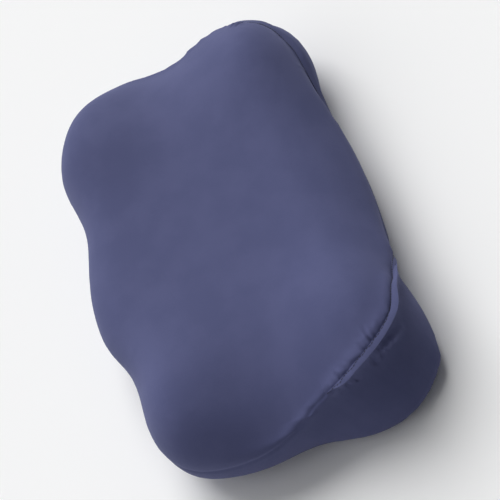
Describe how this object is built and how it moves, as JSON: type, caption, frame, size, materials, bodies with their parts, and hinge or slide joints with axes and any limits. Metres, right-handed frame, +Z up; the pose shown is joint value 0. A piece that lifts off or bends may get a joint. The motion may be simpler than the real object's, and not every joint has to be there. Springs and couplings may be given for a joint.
{
  "type": "contoured memory foam pillow",
  "caption": "Contoured foam pillow with raised wings at its corners, notched sides and ends, and a tight knit cover with a zip flap in its side seam.",
  "frame": {"origin": "on the resting plane, below the middle of the outline", "axes": "+X along the length to the near end, +Y across the width to the zipped side, +Z up through the face"},
  "size_m": [0.6, 0.372, 0.1226],
  "materials": {
    "knit_cover": "fine matt stretch knit, slate violet blue, with a slight sheen",
    "knit_flap": "the same knit, folded double and topstitched"
  },
  "bodies": {
    "root": {"pillow": "knit_cover", "zip_flap": "knit_flap"}
  },
  "joints": []
}
